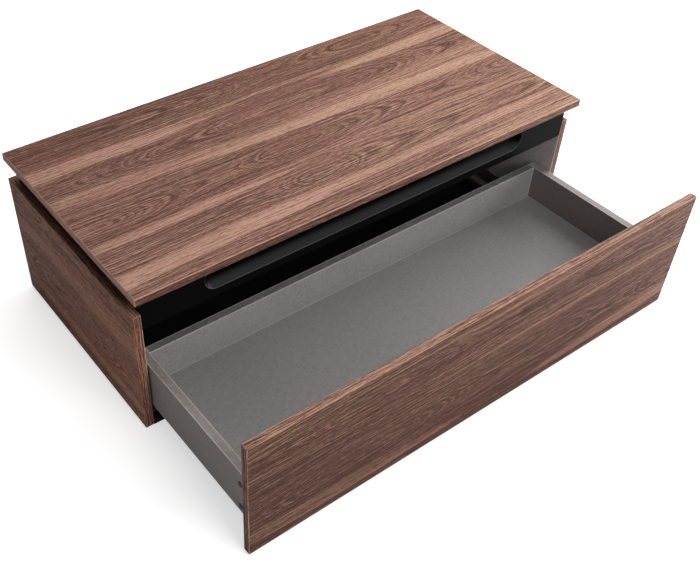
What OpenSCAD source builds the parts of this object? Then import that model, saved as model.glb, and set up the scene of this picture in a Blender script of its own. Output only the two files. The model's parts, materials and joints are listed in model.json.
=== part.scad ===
// Lift top coffee table with one wide drawer.
// Millimetres, +Z up, +X to the right, the drawer opens towards -Y. The origin is on the floor,
// in the middle of the cabinet's footprint. The drawer is drawn pulled out, the top closed.

/* [Table top] */
// Length of the table top
table_length = 1200; // [1100:10:1300]
// Depth of the table top, front to back
top_depth = 570; // [560:5:580]
// Height of the closed table
table_height = 383; // [381:1:386]
// Thickness of the veneered boards of the top, sides and back
board = 19; // [18:1:20]
// Width of the eased arris on veneered boards
ease = 1.5; // [0.5:0.1:2]

/* [Cabinet] */
// Height of the floor glides
glide_height = 3; // [2:1:4]
// Radius of the floor glides
glide_radius = 9; // [7:1:9]
// Height of the side panels
side_height = 315; // [312:1:318]
// How far the side panels stand behind the front edge of the top
front_setback = 22; // [21:1:24]
// Thickness of the bottom panel
bottom_board = 18; // [16:1:18]
// Height of the black frame that stands up between the side panels
frame_height = 82; // [80:1:84]
// Thickness of the frame's front rail
rail_board = 28; // [26:1:30]
// Thickness of the frame's other boards
frame_board = 16; // [15:1:16]
// Thickness of the compartment floor
floor_board = 12; // [12:1:14]
// Gap between the frame and the closed top
top_gap = 3; // [3:1:4]

/* [Finger groove] */
// Overall length of the finger groove in the front rail
groove_length = 876; // [800:4:900]
// Height of the groove's mouth
groove_height = 56; // [50:1:58]
// Depth of the groove
groove_depth = 16; // [12:1:18]

/* [Drawer] */
// How far the drawer is pulled out as drawn
drawer_open = 353; // [0:1:375]
// Thickness of the drawer front
front_board = 18; // [17:1:19]
// Height of the drawer front
front_height = 309; // [306:1:309]
// Width of the drawer box
box_width = 1149; // [1049:10:1249]
// Depth of the drawer box behind its front
box_depth = 407; // [400:1:410]
// Height of the drawer box
box_height = 119.5; // [110:0.5:130]
// Thickness of the drawer box sides and back
box_board = 18; // [16:1:18]
// Thickness of the drawer bottom
tray_board = 16; // [14:1:16]

/* [Lift mechanism] */
// Distance between the two pivots of one lift arm
arm_length = 240; // [220:5:245]
// Angle of the arms above level when the top is closed
arm_rest_angle = 6; // [5:0.5:7]
// Angle that the arms turn through to lift the top
lift_angle = 106; // [90:1:108]
// Distance between the front and the rear arm's pivots
arm_spacing = 90; // [80:5:95]
// Width of the flat steel arms
arm_width = 22; // [20:1:22]

/* [Hidden] */
$fn = 48;

walnut = [0.48, 0.33, 0.25];
black_board = [0.07, 0.07, 0.07];
grey_board = [0.50, 0.49, 0.48];
zinc = [0.72, 0.72, 0.70];
black_steel = [0.12, 0.12, 0.13];
black_plastic = [0.05, 0.05, 0.05];
beech = [0.80, 0.65, 0.45];

// Small gaps and steps between the boards
reveal = 1;
front_under_sides = 3;
frame_above_groove = 6;

// Levels, from the floor up
panel_z = glide_height;
bottom_top_z = panel_z + bottom_board;
side_top_z = panel_z + side_height;
top_z = table_height - board;
frame_top_z = top_z - top_gap;
frame_z = frame_top_z - frame_height;
floor_top_z = frame_z + floor_board;

// Depths, from front to back
top_front = -top_depth / 2;
side_front = top_front + front_setback;
back_face = top_depth / 2 - reveal;
back_inner = back_face - board;
rail_inner = side_front + rail_board;
rear_rail_front = back_inner - frame_board;

// Half widths
side_outer = table_length / 2 - reveal;
side_inner = side_outer - board;
frame_inner = side_inner - frame_board;

// Carcass fittings
cam_radius = 7.5;
cam_depth = 12.5;
cam_inset = 34;
cam_play = 0.1;
cam_bolt_radius = 3.5;
cam_bolt_grip = 11;
dowel_radius = 4;
dowel_length = 30;
dowel_grip = 10;
bottom_cam_ys = [-150, 150];
bottom_dowel_ys = [-215, 215];
back_cam_zs = [75, 235];
back_dowel_z = 155;
frame_screw_ys = [-226, 50, 140, 225];
frame_screw_rise = 28;
frame_screw_grip = 14;
screw_radius = 2;
screw_head_radius = 4;
screw_head = 1.5;
bumper_radius = 6;
bumper_play = 0.3;
glide_inset = 20;
top_bumper_ys = [-215, 215];

// Drawer, in the place where it is drawn
front_gap = 3;
front_outer = side_front - front_gap - front_board - drawer_open;
front_inner = front_outer + front_board;
front_z = side_top_z - front_under_sides - front_height;
front_half = side_outer - reveal;
box_back = front_inner + box_depth;
box_lift = 34;
box_z = bottom_top_z + box_lift;
box_half = box_width / 2;
box_inner = box_half - box_board;
tray_recess = 16;
tray_z = box_z + tray_recess;
cover_radius = 7;
cover_height = 1;
cover_inset = 41;
cover_zs = [box_z + 17, box_z + 84];
drawer_screw_zs = [box_z + 40, box_z + 95];
drawer_screw_length = 50;

// Runners: a rail on the cabinet, a slide that travels half as far as the drawer, a carrier under it
runner_length = 400;
runner_start = side_front + 5;
runner_plate = 1.5;
rail_lift = 13;
rail_extra = 13;
rail_z = bottom_top_z + rail_lift;
rail_length = runner_length + rail_extra;
rail_flange = 30;
rail_lip = 14;
rail_reach = box_inner - 27;
slide_z = rail_z + 4;
slide_height = 12;
slide_half = 9;
slide_x = rail_reach + 4 + slide_half;
carrier_z = slide_z + slide_height + 2;
carrier_top = tray_z - 0.3;
runner_screw_ys = [-225, -60, 128];
runner_screw_rise = 22;
runner_screw_grip = 12;
cap_length = 34;
clip_size = [28, 60, 12];
clip_lever = [10, 24, 6];
clip_lever_inset = 8;
clip_lever_drop = 9;

// Lift mechanism, seen along X: the plate on the frame, the rear arm, the top's bracket, the front arm
steel = 3;
play = 1;
pin_radius = 4;
running_play = 0.08;
plate_x = frame_inner - steel;
rear_arm_x = plate_x - play - steel;
bracket_x = rear_arm_x - play - steel;
front_arm_x = bracket_x - play - steel;
front_pivot = [-185, floor_top_z + 20];
rear_pivot = front_pivot + [arm_spacing, 0];
arm_reach = arm_length * [cos(arm_rest_angle), sin(arm_rest_angle)];
plate_front = -215;
plate_back = 20;
plate_height = 42;
plate_flange = 27;
bracket_height = frame_top_z - front_pivot[1] - arm_reach[1] + arm_width / 2;
bracket_margin = 24;
bracket_flange = 36;
head_height = 2;
head_radius = 7;
stop_radius = 4;
stop_along = 22;
stop_play = 0.3;
tube_radius = 8;
tube_wall = 1.5;
tube_along = 45;
spring_wire = 1.4;
spring_radius = 7;
spring_turns = 6;
spring_gap = 1.5;
spring_leg_play = 0.3;
base_screw_ys = [-150, -70, 5];
base_screw_inset = 19;
base_screw_grip = 9;
top_screw_steps = [0.15, 0.5, 0.85];
top_screw_inset = 18;
top_screw_grip = 12;
pin_end = 0.5;

// A board with eased arrises, from its low corner to its high corner
module eased_board(low, high) {
    size = high - low;
    translate(low) intersection() {
        linear_extrude(size[2]) eased_outline(size[0], size[1]);
        translate([0, size[1], 0]) rotate([90, 0, 0])
            linear_extrude(size[1]) eased_outline(size[0], size[2]);
        rotate([90, 0, 90]) linear_extrude(size[0]) eased_outline(size[1], size[2]);
    }
}

module eased_outline(w, h) {
    polygon([[ease, 0], [w - ease, 0], [w, ease], [w, h - ease],
             [w - ease, h], [ease, h], [0, h - ease], [0, ease]]);
}

// A plain board from its low corner to its high corner
module plain_board(low, high) {
    translate(low) cube(high - low);
}

// Draws the children once on the right and once, mirrored, on the left
module both_sides() {
    children();
    mirror([1, 0, 0]) children();
}

// A cylinder along +X from x0 to x1, at y and z
module rod_x(x0, x1, y, z, r) {
    translate([x0, y, z]) rotate([0, 90, 0]) cylinder(h = x1 - x0, r = r);
}

// Carcass joints of the right-hand side: cams in the bottom and back panels, their bolts and dowels
module bottom_joints(cam_r, bolt_r, dowel_r, bolts, cams, pegs) {
    mid_z = panel_z + bottom_board / 2;
    for (y = bottom_cam_ys) {
        if (cams) translate([side_inner - cam_inset, y, panel_z]) cylinder(h = cam_depth, r = cam_r);
        if (bolts) rod_x(side_inner - cam_inset + cam_radius + 2 * cam_play, side_inner + cam_bolt_grip,
                         y, mid_z, bolt_r);
    }
    if (pegs) for (y = bottom_dowel_ys)
        rod_x(side_inner - dowel_length + dowel_grip, side_inner + dowel_grip, y, mid_z, dowel_r);
}

module back_joints(cam_r, bolt_r, dowel_r, bolts, cams, pegs) {
    mid_y = back_inner + board / 2;
    for (z = back_cam_zs) {
        if (cams) translate([side_inner - cam_inset, back_inner, z]) rotate([-90, 0, 0])
            cylinder(h = cam_depth, r = cam_r);
        if (bolts) rod_x(side_inner - cam_inset + cam_radius + 2 * cam_play, side_inner + cam_bolt_grip,
                         mid_y, z, bolt_r);
    }
    if (pegs) rod_x(side_inner - dowel_length + dowel_grip, side_inner + dowel_grip,
                    mid_y, back_dowel_z, dowel_r);
}

// Holes in the right-hand side panel for the bolts and dowels
module side_holes() {
    bottom_joints(cam_radius, cam_bolt_radius, dowel_radius, true, false, true);
    back_joints(cam_radius, cam_bolt_radius, dowel_radius, true, false, true);
}

module side_panel() {
    color(walnut) difference() {
        eased_board([side_inner, side_front, panel_z], [side_outer, back_face, side_top_z]);
        side_holes();
    }
}

module side_panel_right() { side_panel(); }
module side_panel_left() { mirror([1, 0, 0]) side_panel(); }

module back_panel() {
    color(walnut) difference() {
        plain_board([-side_inner, back_inner, panel_z], [side_inner, back_face, side_top_z]);
        both_sides() back_joints(cam_radius + cam_play, cam_bolt_radius, dowel_radius, true, true, true);
    }
}

module bottom_panel() {
    color(black_board) difference() {
        plain_board([-side_inner, side_front, panel_z], [side_inner, back_inner, bottom_top_z]);
        both_sides() bottom_joints(cam_radius + cam_play, cam_bolt_radius, dowel_radius, true, true, true);
    }
}

// The groove is a long scoop with round ends, cut into the face of the front rail
module front_rail() {
    half_mouth = groove_height / 2;
    cutter = (half_mouth * half_mouth + groove_depth * groove_depth) / (2 * groove_depth);
    cutter_y = side_front + groove_depth - cutter;
    groove_z = frame_top_z - frame_above_groove - half_mouth;
    end_x = groove_length / 2 - half_mouth;
    color(black_board) difference() {
        plain_board([-side_inner, side_front, frame_z], [side_inner, rail_inner, frame_top_z]);
        rod_x(-end_x, end_x, cutter_y, groove_z, cutter, $fn = 96);
        both_sides() translate([end_x, cutter_y, groove_z]) sphere(r = cutter, $fn = 96);
    }
}

module rear_rail() {
    color(black_board)
        plain_board([-side_inner, rear_rail_front, frame_z], [side_inner, back_inner, frame_top_z]);
}

module compartment_side() {
    color(black_board)
        plain_board([frame_inner, rail_inner, frame_z], [side_inner, rear_rail_front, frame_top_z]);
}

module compartment_side_right() { compartment_side(); }
module compartment_side_left() { mirror([1, 0, 0]) compartment_side(); }

module compartment_floor() {
    color(black_board)
        plain_board([-frame_inner, rail_inner, frame_z], [frame_inner, rear_rail_front, floor_top_z]);
}

// One glide under each end of both side panels and one under the middle of the bottom panel
module glides() {
    glide_x = side_outer - board / 2;
    color(black_plastic) {
        both_sides() for (y = [side_front + glide_inset, back_face - glide_inset])
            translate([glide_x, y, 0]) cylinder(h = glide_height, r = glide_radius);
        cylinder(h = glide_height, r = glide_radius);
    }
}

module cam_fasteners() {
    color(zinc) both_sides() {
        bottom_joints(cam_radius, cam_bolt_radius, dowel_radius, false, true, false);
        back_joints(cam_radius, cam_bolt_radius, dowel_radius, false, true, false);
    }
}

module cam_bolts() {
    color(zinc) both_sides() {
        bottom_joints(cam_radius, cam_bolt_radius, dowel_radius, true, false, false);
        back_joints(cam_radius, cam_bolt_radius, dowel_radius, true, false, false);
    }
}

module dowels() {
    color(beech) both_sides() {
        bottom_joints(cam_radius, cam_bolt_radius, dowel_radius, false, false, true);
        back_joints(cam_radius, cam_bolt_radius, dowel_radius, false, false, true);
    }
}

// A pan-head screw along +X whose head stands on the face at x
module screw_x(x, y, z, length) {
    rod_x(x - screw_head, x, y, z, screw_head_radius);
    rod_x(x, x + length, y, z, screw_radius);
}

module frame_screws() {
    screw_z = frame_z + frame_screw_rise;
    color(zinc) both_sides() for (y = frame_screw_ys)
        screw_x(frame_inner, y, screw_z, frame_board + frame_screw_grip);
}

module top_bumpers() {
    color(black_plastic) both_sides() for (y = top_bumper_ys)
        translate([side_inner - frame_board / 2, y, frame_top_z])
            cylinder(h = top_gap - bumper_play, r = bumper_radius);
}

// Right-hand cabinet rail: a tall flange on the side panel, a floor under the drawer and a lip
module runner_rail() {
    t = runner_plate;
    color(zinc) translate([0, runner_start + rail_length, 0]) rotate([90, 0, 0]) linear_extrude(rail_length)
        polygon([[rail_reach, rail_z], [side_inner, rail_z], [side_inner, rail_z + rail_flange],
                 [side_inner - t, rail_z + rail_flange], [side_inner - t, rail_z + t],
                 [rail_reach + t, rail_z + t], [rail_reach + t, rail_z + rail_lip],
                 [rail_reach, rail_z + rail_lip]]);
}

module runner_rail_right() { runner_rail(); }
module runner_rail_left() { mirror([1, 0, 0]) runner_rail(); }

module runner_screws() {
    color(zinc) both_sides() for (y = runner_screw_ys)
        screw_x(side_inner - runner_plate, y, rail_z + runner_screw_rise, runner_plate + runner_screw_grip);
}

// Right-hand slide: a square steel channel, open below
module runner_slide() {
    t = runner_plate;
    slide_y = runner_start - drawer_open / 2;
    color(zinc) translate([slide_x, slide_y + runner_length, slide_z]) rotate([90, 0, 0])
        linear_extrude(runner_length)
            polygon([[-slide_half, 0], [-slide_half + t, 0], [-slide_half + t, slide_height - t],
                     [slide_half - t, slide_height - t], [slide_half - t, 0], [slide_half, 0],
                     [slide_half, slide_height], [-slide_half, slide_height]]);
}

module runner_slide_right() { runner_slide(); }
module runner_slide_left() { mirror([1, 0, 0]) runner_slide(); }

// Plastic end stops that close the rear ends of the slides
module runner_end_caps() {
    cap_y = runner_start - drawer_open / 2 + runner_length;
    wall = runner_plate + 0.2;
    color(black_plastic) both_sides() difference() {
        plain_board([slide_x - slide_half + wall, cap_y - cap_length, slide_z - 1],
                    [slide_x + slide_half - wall, cap_y + 4, slide_z + slide_height - wall]);
        rod_x(slide_x - slide_half, slide_x + slide_half, cap_y - cap_length / 2, slide_z, 3.5);
    }
}

// Right-hand carrier: a channel, open below, that the drawer rests on
module runner_carrier() {
    t = runner_plate;
    low_x = rail_reach + 0.6;
    high_x = box_inner - 0.6;
    color(zinc) translate([0, front_inner + 4 + runner_length, 0]) rotate([90, 0, 0])
        linear_extrude(runner_length)
            polygon([[low_x, carrier_z], [low_x + t, carrier_z], [low_x + t, carrier_top - t],
                     [high_x - t, carrier_top - t], [high_x - t, carrier_z], [high_x, carrier_z],
                     [high_x, carrier_top], [low_x, carrier_top]]);
}

module runner_carrier_right() { runner_carrier(); }
module runner_carrier_left() { mirror([1, 0, 0]) runner_carrier(); }

module drawer_front() {
    color(walnut) eased_board([-front_half, front_outer, front_z],
                              [front_half, front_inner, front_z + front_height]);
}

module drawer_side() {
    color(grey_board) plain_board([box_inner, front_inner, box_z], [box_half, box_back, box_z + box_height]);
}

module drawer_side_right() { drawer_side(); }
module drawer_side_left() { mirror([1, 0, 0]) drawer_side(); }

module drawer_back() {
    color(grey_board)
        plain_board([-box_inner, box_back - box_board, tray_z], [box_inner, box_back, box_z + box_height]);
}

module drawer_bottom() {
    color(grey_board)
        plain_board([-box_inner, front_inner, tray_z],
                    [box_inner, box_back - box_board, tray_z + tray_board]);
}

// Locking clips under the front corners of the drawer, each with a squeeze lever
module drawer_clips() {
    clip_x = rail_reach - 2 - clip_size[0];
    color(black_plastic) both_sides() {
        plain_board([clip_x, front_inner, tray_z - clip_size[2]],
                    [clip_x + clip_size[0], front_inner + clip_size[1], tray_z]);
        translate([clip_x + clip_lever_inset, front_inner + clip_size[1], tray_z - clip_lever_drop])
            cube(clip_lever);
    }
}

// Caps over the cam fittings that hold the sides to the drawer front
module cam_covers() {
    color(black_plastic) both_sides() for (z = cover_zs)
        rod_x(box_half, box_half + cover_height, front_inner + cover_inset, z, cover_radius);
}

module drawer_screws() {
    color(zinc) both_sides() for (z = drawer_screw_zs) mirror([1, 0, 0])
        screw_x(-box_half, box_back - box_board / 2, z, drawer_screw_length);
}

// Right-hand base plate: an angle with both pivot holes and the stud that stops the raised arms
module lift_base() {
    max_angle = arm_rest_angle + lift_angle;
    aside = arm_width / 2 + stop_radius + stop_play;
    stop_y = front_pivot[0] + stop_along * cos(max_angle) - aside * sin(max_angle);
    stop_z = front_pivot[1] + stop_along * sin(max_angle) + aside * cos(max_angle);
    color(black_steel) {
        difference() {
            union() {
                plain_board([plate_x, plate_front, floor_top_z],
                            [frame_inner, plate_back, floor_top_z + plate_height]);
                plain_board([plate_x - plate_flange, plate_front, floor_top_z],
                            [plate_x, plate_back, floor_top_z + steel]);
                rod_x(front_arm_x - pin_end, plate_x, stop_y, stop_z, stop_radius);
            }
            rod_x(plate_x - play, frame_inner + play, front_pivot[0], front_pivot[1], pin_radius);
            rod_x(plate_x - play, frame_inner + play, rear_pivot[0], rear_pivot[1], pin_radius);
        }
    }
}

module lift_base_right() { lift_base(); }
module lift_base_left() { mirror([1, 0, 0]) lift_base(); }

module lift_base_screws() {
    screw_x_at = plate_x - base_screw_inset;
    color(zinc) both_sides() for (y = base_screw_ys) translate([screw_x_at, y, floor_top_z + steel]) {
        cylinder(h = screw_head, r = screw_head_radius);
        translate([0, 0, -steel - base_screw_grip]) cylinder(h = steel + base_screw_grip, r = screw_radius);
    }
}

// Pins riveted into the base plates. The front ones are long, to carry the springs
module base_pivot_pins() {
    spring_end = front_arm_x - 2 - 2 * spring_wire * spring_turns;
    color(zinc) both_sides() {
        rod_x(spring_end - 1, frame_inner, front_pivot[0], front_pivot[1], pin_radius);
        rod_x(front_arm_x + steel + pin_end, plate_x, front_pivot[0], front_pivot[1], pin_radius + 2);
        rod_x(spring_end - 1 - head_height, spring_end - 1, front_pivot[0], front_pivot[1], head_radius);
        rod_x(rear_arm_x - pin_end, frame_inner, rear_pivot[0], rear_pivot[1], pin_radius);
        rod_x(rear_arm_x - pin_end - head_height / 2, rear_arm_x - pin_end,
              rear_pivot[0], rear_pivot[1], head_radius - 1);
    }
}

// Torsion springs wound round the front pins, as touching turns with one straight leg on the plate
module lift_springs() {
    color(zinc) both_sides() union() {
        for (turn = [0 : spring_turns - 1])
            translate([front_arm_x - spring_gap - spring_wire * (2 * turn + 1),
                       front_pivot[0], front_pivot[1]])
                rotate([0, 90, 0]) rotate_extrude()
                    translate([spring_radius, 0]) circle(r = spring_wire + 0.05, $fn = 16);
        translate([front_arm_x - spring_gap - spring_wire, front_pivot[0] - spring_radius,
                   floor_top_z + steel + spring_leg_play])
            cylinder(h = front_pivot[1] - floor_top_z - steel - spring_leg_play, r = spring_wire, $fn = 16);
    }
}

// A flat bar with round ends from pivot a to pivot b, drawn in the Y-Z plane and x thick
module arm_bar(x, a, b, bore_a, bore_b) {
    translate([x, a[0], a[1]]) rotate([atan2(b[1] - a[1], b[0] - a[0]), 0, 0])
        rotate([90, 0, 90]) linear_extrude(steel) difference() {
            union() {
                translate([0, -arm_width / 2]) square([arm_length, arm_width]);
                circle(d = arm_width);
                translate([arm_length, 0]) circle(d = arm_width);
            }
            circle(r = bore_a);
            translate([arm_length, 0]) circle(r = bore_b);
        }
}

module front_arm() {
    bore = pin_radius + running_play;
    color(black_steel) arm_bar(front_arm_x, front_pivot, front_pivot + arm_reach, bore, bore);
}

module front_arm_right() { front_arm(); }
module front_arm_left() { mirror([1, 0, 0]) front_arm(); }

// The tube that makes both front arms turn together
module cross_tube() {
    tube_at = front_pivot + arm_reach * tube_along / arm_length;
    color(black_steel) difference() {
        rod_x(-front_arm_x, front_arm_x, tube_at[0], tube_at[1], tube_radius);
        rod_x(-front_arm_x - play, front_arm_x + play, tube_at[0], tube_at[1], tube_radius - tube_wall);
    }
}

module rear_arm() {
    bore = pin_radius + running_play;
    color(black_steel) arm_bar(rear_arm_x, rear_pivot, rear_pivot + arm_reach, bore, pin_radius);
}

module rear_arm_right() { rear_arm(); }
module rear_arm_left() { mirror([1, 0, 0]) rear_arm(); }

// Pins riveted into the rear arms, which turn in the top's brackets
module rear_arm_pins() {
    at = rear_pivot + arm_reach;
    color(zinc) both_sides() {
        rod_x(bracket_x - pin_end, rear_arm_x + steel, at[0], at[1], pin_radius);
        rod_x(bracket_x - pin_end - head_height, bracket_x - pin_end, at[0], at[1], head_radius);
    }
}

module top_panel() {
    color(walnut) eased_board([-table_length / 2, top_front, top_z],
                              [table_length / 2, -top_front, table_height]);
}

// Right-hand bracket: an angle under the top that hangs on the ends of both arms
module top_bracket() {
    front_at = front_pivot + arm_reach;
    rear_at = rear_pivot + arm_reach;
    low_y = front_at[0] - bracket_margin;
    high_y = rear_at[0] + bracket_margin;
    color(black_steel) difference() {
        union() {
            plain_board([bracket_x, low_y, top_z - steel - bracket_height],
                        [bracket_x + steel, high_y, top_z]);
            plain_board([bracket_x + steel - bracket_flange, low_y, top_z - steel],
                        [bracket_x + steel, high_y, top_z]);
        }
        rod_x(bracket_x - play, bracket_x + steel + play, front_at[0], front_at[1], pin_radius);
        rod_x(bracket_x - play, bracket_x + steel + play, rear_at[0], rear_at[1], pin_radius + running_play);
    }
}

module top_bracket_right() { top_bracket(); }
module top_bracket_left() { mirror([1, 0, 0]) top_bracket(); }

// Pins riveted into the brackets, on which the front arms turn
module bracket_pins() {
    at = front_pivot + arm_reach;
    color(zinc) both_sides() {
        rod_x(front_arm_x - pin_end, bracket_x + steel, at[0], at[1], pin_radius);
        rod_x(front_arm_x - pin_end - head_height, front_arm_x - pin_end, at[0], at[1], head_radius);
    }
}

module top_screws() {
    low_y = front_pivot[0] + arm_reach[0] - bracket_margin;
    run = arm_spacing + 2 * bracket_margin;
    color(zinc) both_sides() for (step = top_screw_steps)
        translate([bracket_x - top_screw_inset, low_y + step * run, top_z - steel]) {
            translate([0, 0, -screw_head]) cylinder(h = screw_head, r = screw_head_radius);
            cylinder(h = steel + top_screw_grip, r = screw_radius);
        }
}

side_panel_left();
side_panel_right();
back_panel();
bottom_panel();
front_rail();
rear_rail();
compartment_side_left();
compartment_side_right();
compartment_floor();
glides();
cam_fasteners();
cam_bolts();
dowels();
frame_screws();
top_bumpers();
runner_rail_left();
runner_rail_right();
runner_screws();
lift_base_left();
lift_base_right();
lift_base_screws();
base_pivot_pins();
lift_springs();
front_arm_left();
front_arm_right();
cross_tube();
rear_arm_left();
rear_arm_right();
rear_arm_pins();
top_panel();
top_bracket_left();
top_bracket_right();
bracket_pins();
top_screws();
runner_slide_left();
runner_slide_right();
runner_end_caps();
drawer_front();
drawer_side_left();
drawer_side_right();
drawer_back();
drawer_bottom();
runner_carrier_left();
runner_carrier_right();
drawer_clips();
cam_covers();
drawer_screws();
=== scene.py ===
"""Looks for the lift top coffee table: camera, light, veneer, laminate, metal and small fittings.

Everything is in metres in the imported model's frame. Boards keep their CAD shape and get a
procedural material; small fittings are modelled again here with the detail that CAD leaves out.
"""
import json
import math

import bmesh
import bpy
from mathutils import Matrix, Vector


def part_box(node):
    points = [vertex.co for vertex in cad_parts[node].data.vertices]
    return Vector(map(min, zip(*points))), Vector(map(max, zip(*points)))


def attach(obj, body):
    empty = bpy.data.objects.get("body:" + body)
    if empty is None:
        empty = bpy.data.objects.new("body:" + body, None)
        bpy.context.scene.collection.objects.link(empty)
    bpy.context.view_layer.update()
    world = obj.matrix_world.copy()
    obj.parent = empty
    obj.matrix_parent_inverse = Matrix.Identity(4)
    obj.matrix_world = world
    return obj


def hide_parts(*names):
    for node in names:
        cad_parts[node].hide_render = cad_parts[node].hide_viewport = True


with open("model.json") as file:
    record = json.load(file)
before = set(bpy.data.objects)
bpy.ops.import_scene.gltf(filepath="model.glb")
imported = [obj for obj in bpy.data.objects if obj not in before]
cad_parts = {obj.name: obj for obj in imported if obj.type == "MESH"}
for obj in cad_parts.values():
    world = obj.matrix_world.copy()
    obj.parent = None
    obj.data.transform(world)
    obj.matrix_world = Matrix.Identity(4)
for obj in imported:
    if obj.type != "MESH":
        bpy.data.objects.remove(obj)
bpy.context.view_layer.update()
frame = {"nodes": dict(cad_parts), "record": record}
NODES = frame["nodes"]
MM = 0.001
X, Y, Z = range(3)
LOOKS_ALONG = 0.7       # a normal's share along an axis, above which a face looks along that axis

# ---------------------------------------------------------------- places read from the frame
TOP_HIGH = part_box("top_panel")[1]
SIDE_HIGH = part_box("side_panel_right")[1]
FRONT_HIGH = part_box("drawer_front")[1]
BACK_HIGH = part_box("back_panel")[1]


# ---------------------------------------------------------------- node trees
class Graph:
    """Builds one material's node tree. Sockets and plain numbers can be mixed freely."""

    def __init__(self, name):
        self.material = bpy.data.materials.new(name)
        self.material.use_nodes = True
        self.tree = self.material.node_tree
        self.tree.nodes.clear()
        self.output = self.tree.nodes.new("ShaderNodeOutputMaterial")

    def node(self, kind, inputs=None, **settings):
        made = self.tree.nodes.new(kind)
        for key, value in settings.items():
            setattr(made, key, value)
        for key, value in (inputs or {}).items():
            self.feed(made.inputs[key], value)
        return made

    def feed(self, socket, value):
        if isinstance(value, bpy.types.NodeSocket):
            self.tree.links.new(value, socket)
        else:
            socket.default_value = value

    def math(self, operation, a, b=0.0):
        made = self.node("ShaderNodeMath", operation=operation)
        for socket, value in zip(made.inputs, (a, b)):
            self.feed(socket, value)
        return made.outputs[0]

    def add(self, a, b):
        return self.math("ADD", a, b)

    def sub(self, a, b):
        return self.math("SUBTRACT", a, b)

    def mul(self, a, b):
        return self.math("MULTIPLY", a, b)

    def smooth(self, value, low, high):
        """0 at low, 1 at high, with a soft start and end. High may be the smaller number."""
        made = self.node("ShaderNodeMapRange", interpolation_type="SMOOTHSTEP")
        for key, number in (("Value", value), ("From Min", low), ("From Max", high)):
            self.feed(made.inputs[key], number)
        return made.outputs["Result"]

    def remap(self, value, low, high, to_low, to_high):
        """The span from low to high, stretched evenly to the span from to_low to to_high."""
        made = self.node("ShaderNodeMapRange")
        keys = ("Value", "From Min", "From Max", "To Min", "To Max")
        for key, number in zip(keys, (value, low, high, to_low, to_high)):
            self.feed(made.inputs[key], number)
        return made.outputs["Result"]

    def vector(self, x, y, z):
        made = self.node("ShaderNodeCombineXYZ")
        for socket, value in zip(made.inputs, (x, y, z)):
            self.feed(socket, value)
        return made.outputs[0]

    def noise(self, vector, detail=2.0, roughness=0.5):
        made = self.node("ShaderNodeTexNoise", noise_dimensions="3D")
        numbers = (vector, 1.0, detail, roughness)
        for key, value in zip(("Vector", "Scale", "Detail", "Roughness"), numbers):
            self.feed(made.inputs[key], value)
        return made.outputs["Fac"]

    def spots(self, place, per_metre, detail=2.0):
        """Noise with about so many spots to the metre along all three axes."""
        return self.noise(self.vector(*[self.mul(value, per_metre) for value in place]), detail)

    def hypot(self, a, b):
        return self.math("SQRT", self.add(self.mul(a, a), self.mul(b, b)))

    def looks(self, part):
        """1 on faces whose normal has this part along an axis, 0 on the others."""
        return self.math("GREATER_THAN", part, LOOKS_ALONG)

    def pick(self, factor, a, b):
        """a where factor is 0, b where it is 1, for plain numbers."""
        made = self.node("ShaderNodeMix", data_type="FLOAT")
        for socket, value in zip(made.inputs[:4], (factor, None, a, b)):
            if value is not None:
                self.feed(socket, value)
        return made.outputs[0]

    def blend(self, factor, a, b, blend_type="MIX"):
        made = self.node("ShaderNodeMix", data_type="RGBA", blend_type=blend_type)
        self.feed(made.inputs[0], factor)
        self.feed(made.inputs[6], a if isinstance(a, bpy.types.NodeSocket) else (*a, 1.0))
        self.feed(made.inputs[7], b if isinstance(b, bpy.types.NodeSocket) else (*b, 1.0))
        return made.outputs[2]

    def bump(self, height, strength, distance):
        made = self.node("ShaderNodeBump")
        made.inputs["Strength"].default_value = strength
        made.inputs["Distance"].default_value = distance
        self.feed(made.inputs["Height"], height)
        return made.outputs["Normal"]

    def coordinates(self, kind):
        """The x, y and z of a texture coordinate: Object for the place, Normal for the facing."""
        source = self.node("ShaderNodeTexCoord").outputs[kind]
        parts = self.node("ShaderNodeSeparateXYZ", {0: source})
        return [parts.outputs[index] for index in range(3)]

    def arris(self, spot, corners, width):
        """1 along the edges of the box between two corners, 0 on its faces.

        Each pair of faces that is near adds 1 to the total, and two are near along an edge."""
        total = 0.0
        for value, low, high in zip(spot, *corners):
            gap = self.math("MINIMUM", self.math("ABSOLUTE", self.sub(value, low)),
                            self.math("ABSOLUTE", self.sub(high, value)))
            total = self.add(total, self.sub(1.0, self.smooth(gap, width * 0.4, width)))
        return self.smooth(total, 1.1, 1.9)

    def finish(self, colour, roughness, normal, metallic=0.0, specular=0.5):
        """Joins it all in a shader. Metallic and specular are plain numbers, the rest may be sockets."""
        shader = self.node("ShaderNodeBsdfPrincipled")
        self.feed(shader.inputs["Base Color"], colour)
        self.feed(shader.inputs["Roughness"], roughness)
        shader.inputs["Metallic"].default_value = metallic
        shader.inputs["Specular IOR Level"].default_value = specular
        self.feed(shader.inputs["Normal"], normal)
        self.tree.links.new(shader.outputs[0], self.output.inputs[0])
        return self.material


# ---------------------------------------------------------------- walnut
WOOD_TONES = (
    (0.0, (0.070, 0.030, 0.022)), (0.25, (0.138, 0.063, 0.046)), (0.5, (0.235, 0.117, 0.086)),
    (0.75, (0.345, 0.190, 0.137)), (1.0, (0.475, 0.292, 0.212)))
ROSY = (1.03, 0.98, 1.01)
OLIVE = (0.985, 1.01, 0.965)
RING_SPACING = 3.5 * MM
FIBRE_STEP = 0.95 * MM      # half the distance between a fibre's pale and dark line
RIB_STEP = 1.55 * MM        # the same for the coarser ribs
ARRIS_WIDTH = 2.4 * MM
GRAIN_END = 0.7             # metres from a board's middle to where its pith curves end
PITH_SCALE = 10.0           # curve units to a metre of pith depth, as a curve only holds 0 to 1

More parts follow.
